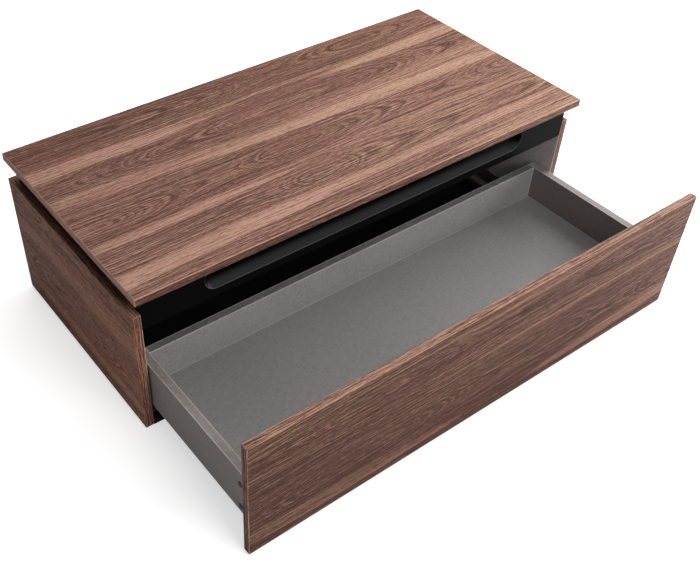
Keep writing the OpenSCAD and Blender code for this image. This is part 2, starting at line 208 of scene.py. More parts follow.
# How far each layer of the figure moves the wood's level, which picks a colour from WOOD_TONES.
MIDDLE_LEVEL = 0.455
SAPWOOD_LIFT = 0.54
WIDE_LIFT = 0.62
COARSE_LIFT = 0.16
STRAND_LIFT = 1.08
FINE_LIFT = 1.50
STRAIGHT_RIB_LIFT = 0.74
ARCHED_RIB_LIFT = 0.36
ARCH_LIFT = 0.52
TOOTH_LIFT = 0.80
RING_DROP = 0.30
RING_RELIEF = 0.16          # rings are fainter by this much in sapwood
DARK_LINE_DROP = 0.20
DARK_ARCH_DROP = 0.11
HAIR_DROP = 0.20
PORE_DARKNESS = 0.46


def veneer_axes(g, along, across, edge_shift):
    """Coordinates along and across the grain, the place on the board, and its long edges and ends.

    Each of the four edges carries its own strip of veneer, with the grain along the strip."""
    spot = g.coordinates("Object")
    facing = g.coordinates("Normal")
    through = 3 - along - across
    end_face = g.looks(g.math("ABSOLUTE", facing[along]))
    edge_face = g.looks(g.math("ABSOLUTE", facing[across]))
    run = g.pick(end_face, spot[along], spot[across])
    strip = g.math("MAXIMUM", edge_face, end_face)
    cross = g.pick(strip, spot[across], g.add(spot[through], edge_shift))
    return run, cross, spot, edge_face, end_face


def leaf_rings(g, run, cross, leaves, seed):
    """Ring distance in metres of flat-sawn leaves: each is a slice past a pith of changing depth.

    A leaf is (centre across, half width, ((run, depth of the pith), ...)). Where the depth is least
    the rings close into an ellipse, and where it rises or falls they stand as nested arches."""
    nearest = reach = None
    for number, (centre, half, profile) in enumerate(leaves):
        drift = g.noise(g.vector(g.mul(run, 1.3), seed + number * 7.3, 0.0), 1.0)
        roll = g.noise(g.vector(g.mul(run, 5.0), seed + number * 5.7, 9.0), 2.0, 0.5)
        off = g.sub(cross, g.add(centre, g.mul(g.sub(drift, 0.5), 22 * MM)))
        curve = g.node("ShaderNodeFloatCurve", {"Value": g.remap(run, -GRAIN_END, GRAIN_END, 0.0, 1.0)})
        points = curve.mapping.curves[0].points
        ends = [(-GRAIN_END, profile[0][1])] + list(profile) + [(GRAIN_END, profile[-1][1])]
        while len(points) < len(ends):
            points.new(0.5, 0.5)
        for point, (where, depth) in zip(points, ends):
            point.location = ((where + GRAIN_END) / (2 * GRAIN_END), depth * PITH_SCALE)
        curve.mapping.update()
        depth = g.add(g.mul(curve.outputs[0], 1 / PITH_SCALE), g.mul(g.sub(roll, 0.5), 10 * MM))
        radius = g.hypot(off, depth)
        share = g.math("DIVIDE", g.math("ABSOLUTE", off), half)
        if nearest is None:
            nearest, reach = share, radius
            continue
        closer = g.math("LESS_THAN", share, nearest)
        nearest = g.pick(closer, nearest, share)
        reach = g.pick(closer, reach, radius)
    return reach


def sapwood(g, run, cross, bands):
    """Pale bands: long lenses (run centre, half length, across centre, half width, slope, strength).

    A band ends sharply on its lower side and fades slowly on its upper side."""
    total = 0.0
    for where, length, centre, width, slope, strength in bands:
        far = g.math("DIVIDE", g.sub(run, where), length)
        line = g.add(centre, g.mul(g.sub(run, where), slope))
        off = g.math("DIVIDE", g.sub(cross, line), width)
        fade_start = g.pick(g.math("GREATER_THAN", off, 0.0), 0.78, 0.40)
        band = g.mul(g.sub(1.0, g.smooth(g.hypot(far, off), fade_start, 1.02)), strength)
        total = g.math("MAXIMUM", total, band)
    return total


def walnut(name, corners, along, across, leaves, bands, seed, edge_shift=0.0, tone=0.0, edge_tone=0.0,
           end_tone=0.0, warm=0.0, grain=1.0, tint=(1.0, 1.0, 1.0), olive_run=0.0, rise=0.0, wear=0.34):
    """Satin walnut veneer, cut from flat-sawn leaves in object coordinates.

    tone, edge_tone and end_tone shift the level of the whole board, its long edges and its ends; warm
    and rise shift it along and across the grain. These edge, end, along and across shifts are painted
    light and shade.
    wear is how pale the arrises are, partly rubbed wear and partly painted highlight."""
    g = Graph(name)
    run, cross, spot, edge_face, end_face = veneer_axes(g, along, across, edge_shift)
    through = spot[3 - along - across]

    def streaks(per_run, per_cross, shift, detail=2.0, roughness=0.55):
        """Noise about 0, with so many features to the metre along and across the grain."""
        place = g.vector(g.mul(run, per_run), g.mul(cross, per_cross), seed + shift)
        return g.sub(g.noise(place, detail, roughness), 0.5)

    def fibre(where, per_run, per_cross, shift, step=FIBRE_STEP):
        """The difference of two near lines of one pattern: a pale line always lies beside a dark one."""
        def side(offset):
            over = g.mul(g.add(where, offset), per_cross)
            place = g.vector(g.mul(run, per_run), over, g.add(g.mul(through, 90.0), seed + shift))
            return g.noise(place, 2.2, 0.66)

        return g.sub(side(step), side(-step))

    def dashes(per_run, per_cross, low, high):
        """1 in short dashes along the grain, 0 between them."""
        place = g.vector(g.mul(run, per_run), g.mul(cross, per_cross), g.mul(through, per_cross))
        return g.smooth(g.noise(place, 1.0, 0.4), low, high)

    # a straight line of grain wanders by a few millimetres
    bend = g.add(g.mul(streaks(1.8, 7.0, 0.0), 30 * MM), g.mul(streaks(6.5, 26.0, 3.0), 7 * MM))
    line = g.add(cross, bend)
    wide = streaks(0.7, 26.0, 11.0)
    coarse = streaks(1.2, 110.0, 17.0)
    medium = streaks(4.5, 260.0, 23.0, 3.0, 0.6)
    fine = fibre(cross, 30.0, 560.0, 29.0)
    short = g.vector(g.mul(run, 110.0), g.mul(cross, 620.0), g.mul(through, 620.0))
    tooth = g.sub(g.noise(short, 1.0), 0.5)

    # growth rings: a soft rise to a dark line, then a sharper return; some years are darker than others
    reach = leaf_rings(g, run, line, leaves, seed)
    years = g.noise(g.vector(g.mul(reach, 120.0), seed, 0.0), 1.0)
    unevenness = g.add(g.mul(years, 3.0), g.mul(medium, 0.5))
    turn = g.math("FRACT", g.add(g.math("DIVIDE", reach, RING_SPACING), unevenness))
    ring = g.sub(g.smooth(turn, 0.50, 0.86), g.smooth(turn, 0.86, 1.0))
    strong = g.noise(g.vector(g.mul(run, 2.0), g.mul(reach, 140.0), seed + 41.0), 2.0)
    ring = g.mul(ring, g.remap(strong, 0.38, 0.62, 0.20, 1.0))

    # pale sapwood with edges frayed along the grain
    frayed = g.add(line, g.add(g.mul(coarse, 16 * MM), g.mul(medium, 10 * MM)))
    pale = sapwood(g, run, frayed, bands)

    # single dark lines: straight, arched and very thin ones
    dark_line = g.smooth(streaks(2.2, 140.0, 61.0), 0.11, 0.16)
    dark_place = g.vector(g.mul(run, 2.5), g.mul(reach, 210.0), seed + 83.0)
    dark_arch = g.smooth(g.noise(dark_place, 2.0, 0.6), 0.60, 0.67)
    hair_place = g.vector(g.mul(run, 1.5), g.mul(line, 330.0), seed + 131.0)
    hair = g.smooth(g.noise(hair_place, 1.0, 0.5), 0.60, 0.66)

    # fibres: those placed by reach follow the rings, so they run straight at a leaf's sides and arch
    # over its heart
    strand = g.add(fibre(line, 1.2, 500.0, 101.0), fibre(line, 5.0, 560.0, 113.0))
    arch = g.add(fibre(reach, 1.2, 640.0, 71.0), fibre(reach, 6.0, 640.0, 77.0))
    straight_rib = fibre(line, 1.4, 320.0, 151.0, RIB_STEP)
    arched_rib = fibre(reach, 3.0, 340.0, 163.0, RIB_STEP)
    ribs = g.add(g.mul(straight_rib, STRAIGHT_RIB_LIFT), g.mul(arched_rib, ARCHED_RIB_LIFT))
    fibres = g.add(g.mul(strand, STRAND_LIFT), g.add(g.mul(fine, FINE_LIFT), ribs))
    fibres = g.add(fibres, g.add(g.mul(arch, ARCH_LIFT), g.mul(tooth, TOOTH_LIFT)))

    level = g.add(MIDDLE_LEVEL + tone, g.mul(pale, SAPWOOD_LIFT))
    level = g.add(level, g.mul(wide, WIDE_LIFT))
    level = g.add(level, g.add(g.mul(coarse, COARSE_LIFT), g.mul(fibres, grain)))
    level = g.sub(level, g.mul(ring, g.sub(RING_DROP, g.mul(pale, RING_RELIEF))))
    level = g.sub(level, g.add(g.mul(dark_line, DARK_LINE_DROP), g.mul(dark_arch, DARK_ARCH_DROP)))
    level = g.sub(level, g.mul(hair, HAIR_DROP))
    # arrises paler: partly rubbed wear, partly painted highlight
    worn = g.mul(g.arris(spot, corners, ARRIS_WIDTH), g.add(wear, g.mul(medium, 0.6)))
    # painted light and shade on long edges and ends, and sloping along and across the grain
    level = g.add(level, g.add(g.add(g.mul(edge_face, edge_tone), g.mul(end_face, end_tone)), worn))
    level = g.add(level, g.add(g.mul(run, warm), g.mul(spot[across], rise)))
    ramp = g.node("ShaderNodeValToRGB", {"Fac": level})
    stops = ramp.color_ramp.elements
    while len(stops) < len(WOOD_TONES):
        stops.new(0.5)
    for stop, (where, colour) in zip(stops, WOOD_TONES):
        stop.position = where
        stop.color = (*colour, 1.0)

    # some patches are rosy and some olive, as heartwood is
    hue = g.smooth(g.add(streaks(2.2, 26.0, 91.0), g.mul(run, olive_run)), -0.12, 0.12)
    cast = g.blend(hue, *[tuple(a * b for a, b in zip(side, tint)) for side in (ROSY, OLIVE)])
    colour = g.blend(1.0, ramp.outputs["Color"], cast, "MULTIPLY")

    # pores: some wide and open, many hair-fine
    open_pores = dashes(52.0, 430.0, 0.60, 0.68)
    hair_pores = g.mul(dashes(75.0, 1300.0, 0.60, 0.70), 0.7)
    pore = g.math("MAXIMUM", open_pores, hair_pores)
    colour = g.blend(g.mul(pore, PORE_DARKNESS), colour, WOOD_TONES[0][1])
    height = g.sub(g.add(g.mul(fine, 0.5), g.mul(medium, 0.4)), g.mul(pore, 0.8))
    roughness = g.add(g.add(0.60, g.mul(pore, 0.16)), g.mul(coarse, 0.14))
    return g, colour, roughness, g.bump(height, 0.35, 0.25 * MM)


def assign(node, material):
    mesh = NODES[node].data
    mesh.materials.clear()
    mesh.materials.append(material)


THREAD_ALONG = 60.0         # features to the metre along a thread of the laminate's print
THREAD_ACROSS = 460.0       # and across it


def grey_pattern(g, seed):
    """Matt grey laminate with a fine cloth-like tooth: its brightness about 0, and its relief."""
    shift = [g.add(value, seed) for value in g.coordinates("Object")]
    weave = 0.0
    for axis in range(3):
        stretch = [g.mul(value, THREAD_ALONG if index == axis else THREAD_ACROSS)
                   for index, value in enumerate(shift)]
        thread = g.noise(g.vector(*stretch), 3.0, 0.6)
        weave = g.add(weave, g.sub(thread, 0.5))
    patch = g.sub(g.spots(shift, 6.0), 0.5)
    level = g.add(g.mul(weave, 0.62), g.mul(patch, 0.14))
    return level, weave


def shaded(g, colour, gain):
    """A plain colour, brighter or darker from place to place."""
    return g.node("ShaderNodeVectorMath", {0: colour, 3: gain}, operation="SCALE").outputs[0]


def laminate(node, colour, seed, edge_shade=0.0):
    """A laminated board with a fine pale line along its arrises, partly edge band and partly painted
    highlight.

    edge_shade is how much darker its top edge is."""
    g = Graph("laminate_" + node)
    level, weave = grey_pattern(g, seed)
    # the pale arris line is partly edge band, partly painted highlight; the top edge's darkening is
    # painted shade
    line = g.arris(g.coordinates("Object"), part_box(node), 2.0 * MM)
    top_edge = g.mul(g.looks(g.coordinates("Normal")[Z]), -edge_shade)
    gain = g.add(g.add(g.add(1.0, level), top_edge), g.mul(line, 0.95))
    roughness = g.add(0.55, g.mul(weave, 0.10))
    relief = g.bump(weave, 0.25, 0.15 * MM)
    assign(node, g.finish(shaded(g, colour, gain), roughness, relief, specular=0.3))


GREY = (0.235, 0.226, 0.218)
GREY_SIDE = (0.250, 0.222, 0.208)
# the drawer back's grey and the side panels' inner grey are paler than plain grey as painted light
GREY_BACK = (0.305, 0.295, 0.288)
INNER_GREY = (0.640, 0.590, 0.555)
BLACK = (0.0035, 0.0033, 0.0034)


def from_edge(edge, leaves):
    """Leaves given in millimetres from a board's edge, with pith depths at places along the grain."""
    return [(edge - centre * MM, half * MM, [(where, depth * MM) for where, depth in profile])
            for centre, half, profile in leaves]


def bands_from_edge(edge, bands):
    """Sapwood bands, with their centre below a board's edge and their width in millimetres."""
    return [(where, length, edge - centre * MM, width * MM, -slope, strength)
            for where, length, centre, width, slope, strength in bands]


TOP_LEAVES = from_edge(TOP_HIGH.y, (
    (46, 58, ((-0.6, 34), (-0.15, 48), (0.05, 66), (0.35, 48), (0.6, 62))),
    (188, 50, ((-0.6, 72), (-0.3, 46), (0.0, 28), (0.25, 40), (0.6, 78))),
    (336, 56, ((-0.6, 16), (-0.25, 52), (-0.09, 34), (0.12, 52), (0.35, 68), (0.6, 44))),
    (452, 44, ((-0.6, 60), (-0.2, 52), (-0.08, 34), (0.05, 54), (0.6, 70))),
    (590, 62, ((-0.6, 50), (0.0, 62), (0.6, 54)))))
TOP_BANDS = bands_from_edge(TOP_HIGH.y, (
    (-0.52, 0.44, 126, 27, 0.00, 1.0), (0.48, 0.36, 124, 25, -0.01, 0.9),
    (0.0, 0.80, 112, 7, 0.0, 0.5), (0.22, 0.62, 274, 24, 0.02, 1.0),
    (-0.42, 0.42, 244, 24, 0.03, 0.7), (0.30, 0.55, 236, 22, 0.0, 0.35),
    (-0.42, 0.34, 404, 17, 0.0, 0.75), (0.15, 0.50, 392, 12, 0.0, 0.40),
    (-0.42, 0.50, 514, 25, -0.03, 1.0), (0.20, 0.50, 503, 18, -0.02, 0.75),
    (0.52, 0.36, 550, 26, 0.0, 0.6)))
FRONT_LEAVES = from_edge(FRONT_HIGH.z, (
    (56, 64, ((-0.6, 70), (-0.3, 58), (0.0, 74), (0.6, 60))),
    (204, 64, ((-0.6, 46), (-0.36, 24), (0.10, 62), (0.22, 54), (0.36, 64), (0.6, 50))),
    (330, 50, ((-0.6, 50), (0.6, 60)))))
FRONT_BANDS = bands_from_edge(FRONT_HIGH.z, (
    (0.30, 0.62, 122, 7, 0.0, 0.6), (-0.10, 0.40, 140, 8, 0.0, 0.25), (-0.42, 0.40, 264, 22, 0.02, 0.75),
    (0.46, 0.36, 260, 24, -0.05, 0.85), (0.10, 0.50, 20, 8, 0.0, 0.3)))
SIDE_LEAVES = from_edge(SIDE_HIGH.z, (
    (20, 60, ((-0.3, 52), (0.0, 66), (0.3, 50))), (196, 70, ((-0.3, 60), (0.05, 24), (0.3, 52))),
    (330, 50, ((-0.3, 50), (0.3, 60)))))
SIDE_BANDS = bands_from_edge(SIDE_HIGH.z, (
    (0.0, 0.50, 96, 26, 0.02, 0.55), (-0.1, 0.40, 262, 18, 0.0, 0.5)))
BACK_LEAVES = from_edge(BACK_HIGH.z, (
    (30, 66, ((-0.6, 40), (-0.1, 66), (0.2, 40), (0.6, 70))),
    (170, 66, ((-0.6, 70), (-0.25, 30), (0.1, 56), (0.6, 30))), (310, 60, ((-0.6, 50), (0.6, 62)))))
BACK_BANDS = bands_from_edge(BACK_HIGH.z, (
    (-0.3, 0.50, 100, 22, 0.02, 0.8), (0.4, 0.35, 96, 18, 0.0, 0.6), (0.1, 0.60, 248, 20, -0.02, 0.7)))


def veneer(node, *args, inner=None, **kwargs):
    """Gives a board its walnut. inner = (axis, sign, colour) is a face covered with plain laminate."""
    g, colour, roughness, normal = walnut("veneer_" + node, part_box(node), *args, **kwargs)
    if inner is not None:
        axis, sign, plain = inner
        inside = g.looks(g.mul(g.coordinates("Normal")[axis], sign))
        level, weave = grey_pattern(g, 4.0)
        colour = g.blend(inside, colour, shaded(g, plain, g.add(1.0, level)))
    assign(node, g.finish(colour, roughness, normal, specular=0.14))


# The edge, end, along and across shifts below are painted light and shade, the drawer front's low tone
# is painted shade, and the top's pale arrises are painted highlight as well as wear.
veneer("top_panel", X, Y, TOP_LEAVES, TOP_BANDS, 3.0, edge_shift=-0.10, tone=0.02, edge_tone=-0.14,
       end_tone=0.54, warm=0.02, olive_run=0.14, rise=-0.30, wear=1.1)
veneer("drawer_front", X, Z, FRONT_LEAVES, FRONT_BANDS, 11.0, edge_shift=0.62, tone=-0.34,
       edge_tone=0.30, end_tone=0.16, grain=1.15, warm=0.13, olive_run=-0.10, rise=0.72)
veneer("side_panel_left", Y, Z, SIDE_LEAVES, SIDE_BANDS, 23.0, inner=(X, 1, INNER_GREY), edge_shift=0.8,
       tone=0.04, end_tone=-0.26, warm=-0.34, grain=1.5, tint=(1.10, 0.95, 0.88))
veneer("side_panel_right", Y, Z, SIDE_LEAVES, SIDE_BANDS, 29.0, inner=(X, -1, INNER_GREY),
       edge_shift=-0.4, end_tone=-0.16)
veneer("back_panel", X, Z, BACK_LEAVES, BACK_BANDS, 37.0, inner=(Y, -1, BLACK))


GROOVE_END = 410 * MM
GROOVE_LEVEL = 327 * MM
GROOVE_HALF = 28 * MM
RAIL_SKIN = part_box("front_rail")[0].y + 1.5 * MM    # all that lies behind this is inside the groove
# painted shade and light inside the finger groove, and a painted highlight along its lip
HOLLOW_DARK = (0.002, 0.002, 0.002)
HOLLOW_LIT = (0.036, 0.036, 0.037)
LIP_SHINE = (0.085, 0.083, 0.080)


def groove_lip(g, spot):
    """1 along the rim of the finger groove in the front rail, strongest along its lower side: a painted
    highlight.
    """
    past = g.math("MAXIMUM", g.sub(g.math("ABSOLUTE", spot[X]), GROOVE_END), 0.0)
    rise = g.sub(spot[Z], GROOVE_LEVEL)
    off_rim = g.math("ABSOLUTE", g.sub(g.hypot(past, rise), GROOVE_HALF))
    rim = g.sub(1.0, g.smooth(off_rim, 0.4 * MM, 1.3 * MM))
    front = g.math("LESS_THAN", spot[Y], RAIL_SKIN)
    return g.mul(g.mul(rim, front), g.remap(rise, GROOVE_HALF, -GROOVE_HALF, 0.15, 1.0))


def black_board(name, grooved=False, base=BLACK, gloss=0.22):
    """Black board with a slight orange peel. The grooved one's finger groove has painted shade high up
    and painted light low down, with a painted highlight on its lip.
    """
    g = Graph(name)
    spot = g.coordinates("Object")
    peel = g.spots(spot, 420.0)
    dust = g.spots(spot, 9.0)
    shade = g.blend(dust, base, tuple(value * 1.6 for value in base))
    if grooved:
        hollow = g.math("GREATER_THAN", spot[Y], RAIL_SKIN)
        # painted light low in the groove, painted shade above
        low = g.smooth(spot[Z], GROOVE_LEVEL - 0.2 * GROOVE_HALF, GROOVE_LEVEL - 0.9 * GROOVE_HALF)
        shade = g.blend(hollow, shade, g.blend(low, HOLLOW_DARK, HOLLOW_LIT))
        # painted highlight on the groove's lip
        shade = g.blend(groove_lip(g, spot), shade, LIP_SHINE)
    roughness = g.remap(dust, 0.3, 0.7, 0.26, 0.32)
    return g.finish(shade, roughness, g.bump(peel, 0.10, 0.1 * MM), specular=gloss)


def metal(name, colour, roughness, brushed_axis=None, painted=False):
    """Steel with fine grit, drawn out into brush marks along one axis if asked for."""
    g = Graph(name)
    spot = g.coordinates("Object")
    scales = [12.0 if axis == brushed_axis else 900.0 for axis in range(3)]
    grit = g.noise(g.vector(*[g.mul(value, scale) for value, scale in zip(spot, scales)]), 2.0)
    smear = g.spots(spot, 30.0)
    shade = g.blend(smear, tuple(c * 0.85 for c in colour), colour)
    rough = g.add(roughness, g.mul(g.sub(smear, 0.5), 0.15))
    return g.finish(shade, rough, g.bump(grit, 0.15, 0.08 * MM), metallic=0.0 if painted else 1.0)


def plastic(name, colour, roughness=0.5):
    """A moulded, finely gritty surface; rubber and plain wood get the same one."""
    g = Graph(name)
    spot = g.coordinates("Object")
    grit = g.spots(spot, 1400.0)
    cloud = g.spots(spot, 40.0, 1.0)
    shade = g.blend(cloud, tuple(c * 0.85 for c in colour), tuple(c * 1.15 for c in colour))
    return g.finish(shade, roughness, g.bump(grit, 0.2, 0.08 * MM))


BLACK_BOARD = black_board("black_board", base=(0.0105, 0.0100, 0.0098))
ZINC = metal("zinc", (0.60, 0.60, 0.58), 0.34, brushed_axis=Y)
BLACK_STEEL = metal("black_steel", (0.046, 0.046, 0.048), 0.36, painted=True)
SPRING_STEEL = metal("spring_steel", (0.52, 0.52, 0.53), 0.30)
BLACK_PLASTIC = plastic("black_plastic", (0.016, 0.016, 0.016))
GREY_PLASTIC = plastic("grey_plastic", (0.040, 0.038, 0.036))
RUBBER = plastic("rubber", (0.020, 0.020, 0.020), 0.75)
BEECH = plastic("beech", (0.60, 0.43, 0.27), 0.6)
SLOT_MATERIALS = {
    "black_board": BLACK_BOARD, "zinc_steel": ZINC, "black_steel": BLACK_STEEL,
    "spring_steel": SPRING_STEEL, "black_plastic": BLACK_PLASTIC, "grey_plastic": GREY_PLASTIC,
    "rubber": RUBBER, "beech": BEECH}
for entry in frame["record"]["subparts"]:
    if entry["material_slot"] in SLOT_MATERIALS:
        assign(entry["node"], SLOT_MATERIALS[entry["material_slot"]])
assign("front_rail", black_board("black_board_grooved", grooved=True, gloss=0.02))
laminate("drawer_side_left", GREY_SIDE, 1.0)
laminate("drawer_side_right", GREY_SIDE, 2.0)
laminate("drawer_bottom", GREY, 3.0)
laminate("drawer_back", GREY_BACK, 4.0, edge_shade=0.48)


# ---------------------------------------------------------------- small fittings
def islands(node):
    """The boxes of a node's separate solids, as (low, high) corners."""
    data = NODES[node].data
    spots = [tuple(round(value, 6) for value in vertex.co) for vertex in data.vertices]
    # every corner has a leader, and corners joined by an edge come to share one
    leader = {spot: spot for spot in spots}

    def lead(spot):
        while leader[spot] != spot:
            leader[spot] = leader[leader[spot]]
            spot = leader[spot]
        return spot

    for edge in data.edges:
        first, second = (lead(spots[index]) for index in edge.vertices)
        leader[first] = second
    groups = {}
    for spot in leader:
        groups.setdefault(lead(spot), []).append(spot)
    boxes = []
    for group in groups.values():
        columns = list(zip(*group))
        boxes.append((Vector([min(column) for column in columns]),
                      Vector([max(column) for column in columns])))
    return sorted(boxes, key=lambda corners: tuple(corners[0]))


def turned_to(at, direction):
    """A placement whose local +Z points along direction."""
    return Matrix.Translation(at) @ Vector(direction).to_track_quat("Z", "Y").to_matrix().to_4x4()


def lathe(mesh, profile, place, segments=32):
    """Turns (radius, height) points, in millimetres, about local Z and adds them to mesh."""
    rings = []
    for radius, height in profile:
        count = 1 if radius == 0 else segments
        turns = [2 * math.pi * index / count for index in range(count)]
        points = [Vector((radius * math.cos(turn), radius * math.sin(turn), height)) * MM
                  for turn in turns]
        rings.append([mesh.verts.new(place @ point) for point in points])
    for lower, upper in zip(rings, rings[1:]):
        for index in range(max(len(lower), len(upper))):
            after = (index + 1) % segments
            corners = [lower[index % len(lower)], lower[after % len(lower)],
                       upper[after % len(upper)], upper[index % len(upper)]]
            mesh.faces.new(list(dict.fromkeys(corners)))


def tube(mesh, path, radius, sides=12):
    """A round wire along a path of points in metres, closed at both ends."""
    turns = [2 * math.pi * side / sides for side in range(sides)]
    rings = []
    normal = (path[1] - path[0]).orthogonal().normalized()
    for index, spot in enumerate(path):
        ahead = (path[min(index + 1, len(path) - 1)] - path[max(index - 1, 0)]).normalized()
        normal = (normal - ahead * normal.dot(ahead)).normalized()
        other = ahead.cross(normal)
        rings.append([mesh.verts.new(spot + radius * (normal * math.cos(turn) + other * math.sin(turn)))
                      for turn in turns])
    for lower, upper in zip(rings, rings[1:]):
        for side in range(sides):
            after = (side + 1) % sides
            mesh.faces.new((lower[side], lower[after], upper[after], upper[side]))
    mesh.faces.new(rings[0])
    mesh.faces.new(rings[-1])


def block(mesh, low, high, bevel, segments=3):
    """A box with rounded edges, from corner to corner in metres."""
    size = Vector(high) - Vector(low)
    place = Matrix.Translation((Vector(low) + Vector(high)) / 2) @ Matrix.Diagonal((*size, 1.0))
    made = bmesh.ops.create_cube(mesh, size=1.0, matrix=place)
    edges = list(dict.fromkeys(edge for vertex in made["verts"] for edge in vertex.link_edges))
    bmesh.ops.bevel(mesh, geom=edges, offset=bevel, segments=segments, profile=0.5, affect="EDGES")


def cut(base, cutter):
    """The mesh that is left of base when cutter is taken away."""
    made = []
    for mesh in (base, cutter):
        bmesh.ops.recalc_face_normals(mesh, faces=mesh.faces)
        data = bpy.data.meshes.new("cut")
        mesh.to_mesh(data)
        mesh.free()
        made.append(bpy.data.objects.new("cut", data))
        bpy.context.scene.collection.objects.link(made[-1])
    boolean = made[0].modifiers.new("cut", "BOOLEAN")
    boolean.object = made[1]
    boolean.solver = "EXACT"
    boolean.use_self = True
    evaluated = made[0].evaluated_get(bpy.context.evaluated_depsgraph_get())
    result = bpy.data.meshes.new_from_object(evaluated)
    for obj in made:
        bpy.data.objects.remove(obj)
    return result


def add_copy(mesh, data, place):
    """Adds the mesh data to mesh, moved by place."""
    start = len(mesh.verts)
    mesh.from_mesh(data)
    mesh.verts.ensure_lookup_table()
    bmesh.ops.transform(mesh, matrix=place, verts=mesh.verts[start:])


SHARP_ANGLE = math.radians(32)


def make_piece(name, mesh, body, slot, *nodes):
    """Turns mesh into a piece that rides on body, takes slot's finish and stands for nodes."""
    bmesh.ops.recalc_face_normals(mesh, faces=mesh.faces)
    data = bpy.data.meshes.new(name)
    mesh.to_mesh(data)
    mesh.free()
    data.shade_smooth()
    data.set_sharp_from_angle(angle=SHARP_ANGLE)
    piece = bpy.data.objects.new(name, data)
    bpy.context.scene.collection.objects.link(piece)
    data.materials.append(SLOT_MATERIALS[slot])
    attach(piece, body)
    if nodes:
        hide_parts(*nodes)


def cross_recess(reach, width, depth):
    """A tapered cross that is cut into a head whose face is at local z = 0."""
    mesh = bmesh.new()
    for turn in (0.0, math.pi / 2):
        made = bmesh.ops.create_cube(mesh, size=1.0)
        for vertex in made["verts"]:
            above = vertex.co.z > 0
            taper = 1.0 if above else 0.45
            level = 1.0 if above else -depth
            spot = Vector((vertex.co.x * 2 * reach * taper, vertex.co.y * width * taper, level)) * MM
            vertex.co = Matrix.Rotation(turn, 4, "Z") @ spot
    return mesh


# screws, in millimetres
SCREW_HEAD = 1.5
THREAD_PITCH = 1.5
THREAD_CORE = 1.45
THREAD_CREST = 1.95
SCREW_POINT = 3


def screw_head_mesh():
    """A domed head with a cross recess, its top at local z = 0."""
    mesh = bmesh.new()
    turns = [math.radians(15 * step) for step in range(6)]
    dome = [(4.0 * math.cos(turn), math.sin(turn) - 1.0) for turn in turns]
    lathe(mesh, [(0, -SCREW_HEAD), (3.8, -SCREW_HEAD), (4.0, -1.3)] + dome + [(0, 0)], Matrix(), 28)
    return cut(mesh, cross_recess(2.3, 0.8, 1.0))


def screws(name, node, body, heads):
    """Pan-head screws in place of a node's plain ones. heads says which way a screw's head looks."""
    mesh = bmesh.new()
    for low, high in islands(node):
        centre = (low + high) / 2
        out = Vector(heads(centre))
        reach = abs(out.dot(high - low))
        top = centre + out * reach / 2
        add_copy(mesh, SCREW_HEAD_MESH, turned_to(top, out))
        length = reach / MM - SCREW_HEAD
        thread = [(0, -SCREW_HEAD)]
        for turn in range(int((length - SCREW_POINT) / THREAD_PITCH)):
            level = -SCREW_HEAD - 0.5 - THREAD_PITCH * turn
            thread += [(THREAD_CORE, level), (THREAD_CREST, level - 0.5), (THREAD_CORE, level - 1.0)]
        lathe(mesh, thread + [(0, -SCREW_HEAD - length)], turned_to(top, out), 16)
    make_piece(name, mesh, body, "zinc_steel", node)


def inward(centre):
    return (-math.copysign(1.0, centre.x), 0.0, 0.0)


def outward(centre):
    return (math.copysign(1.0, centre.x), 0.0, 0.0)


def upward(centre):
    return (0.0, 0.0, 1.0)


def downward(centre):
    return (0.0, 0.0, -1.0)


def turned_set(name, node, body, slot, profile, heads, segments=40):
    """One turned shape at every solid of a node. Its face, at local z = 0, looks along heads."""
    mesh = bmesh.new()
    for low, high in islands(node):
        centre = (low + high) / 2
        out = Vector(heads(centre))
        lathe(mesh, profile, turned_to(centre + out * abs(out.dot(high - low)) / 2, out), segments)
    make_piece(name, mesh, body, slot, node)


def cam_fasteners():
    """Zinc cams with a cross recess, flush in the bottom panel and in the back panel's inner face."""
    profile = [(0, -12.5), (7.0, -12.5), (7.5, -12), (7.5, -1.0), (7.0, -0.9), (7.0, -0.5), (7.4, -0.4),
               (7.2, 0), (5.4, 0), (5.2, -0.25), (0, -0.25)]
    mesh = bmesh.new()
    lathe(mesh, profile, Matrix(), 40)
    cam = cut(mesh, cross_recess(3.6, 1.3, 2.0))
    mesh = bmesh.new()
    for low, high in islands("cam_fasteners"):
        size = high - low
        out = Vector((0, 0, -1)) if size.z < size.y else Vector((0, -1, 0))
        centre = (low + high) / 2
        add_copy(mesh, cam, turned_to(centre + out * abs(out.dot(size)) / 2, out))
    make_piece("cam_locks", mesh, "cabinet", "zinc_steel", "cam_fasteners")


# pins, in millimetres
LONG_PIN = 25               # longer pins carry a spacer between arm and base plate
SHORT_PIN = 15              # shorter ones with a small head have a thin head as well
SMALL_HEAD = 6.5


def pivot_pins(name, node, body):
    """Turned pins with domed, chamfered heads, which look inward; the plain ends look outward."""
    mesh = bmesh.new()
    for low, high in islands(node):
        centre = (low + high) / 2
        length = (high.x - low.x) / MM
        head = (high.z - low.z) / 2 / MM
        small = length < SHORT_PIN and head < SMALL_HEAD
        thick = 1.0 if small else 2.0
        turns = [math.radians(18 * step) for step in range(4, -1, -1)]
        shape = [(0, 0)]
        shape += [(head * math.cos(turn), thick * 0.55 * (math.sin(turn) - 1)) for turn in turns]
        shape += [(head, -thick * 0.8), (head - 0.3, -thick), (4.0, -thick)]
        if length > LONG_PIN:
            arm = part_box("front_arm_right")[1].x / MM + 0.5
            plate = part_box("lift_base_right")[1].x / MM - 3.0
            start = min(abs(low.x), abs(high.x)) / MM
            shape += [(4.0, start - arm), (5.7, start - arm), (6.0, start - arm - 0.3),
                      (6.0, start - plate), (4.0, start - plate)]
        shape += [(4.0, 0.3 - length), (3.7, -length), (0, -length)]
        out = Vector(inward(centre))
        lathe(mesh, shape, turned_to(centre + out * (high.x - low.x) / 2, out), 32)
    make_piece(name, mesh, body, "zinc_steel", node)


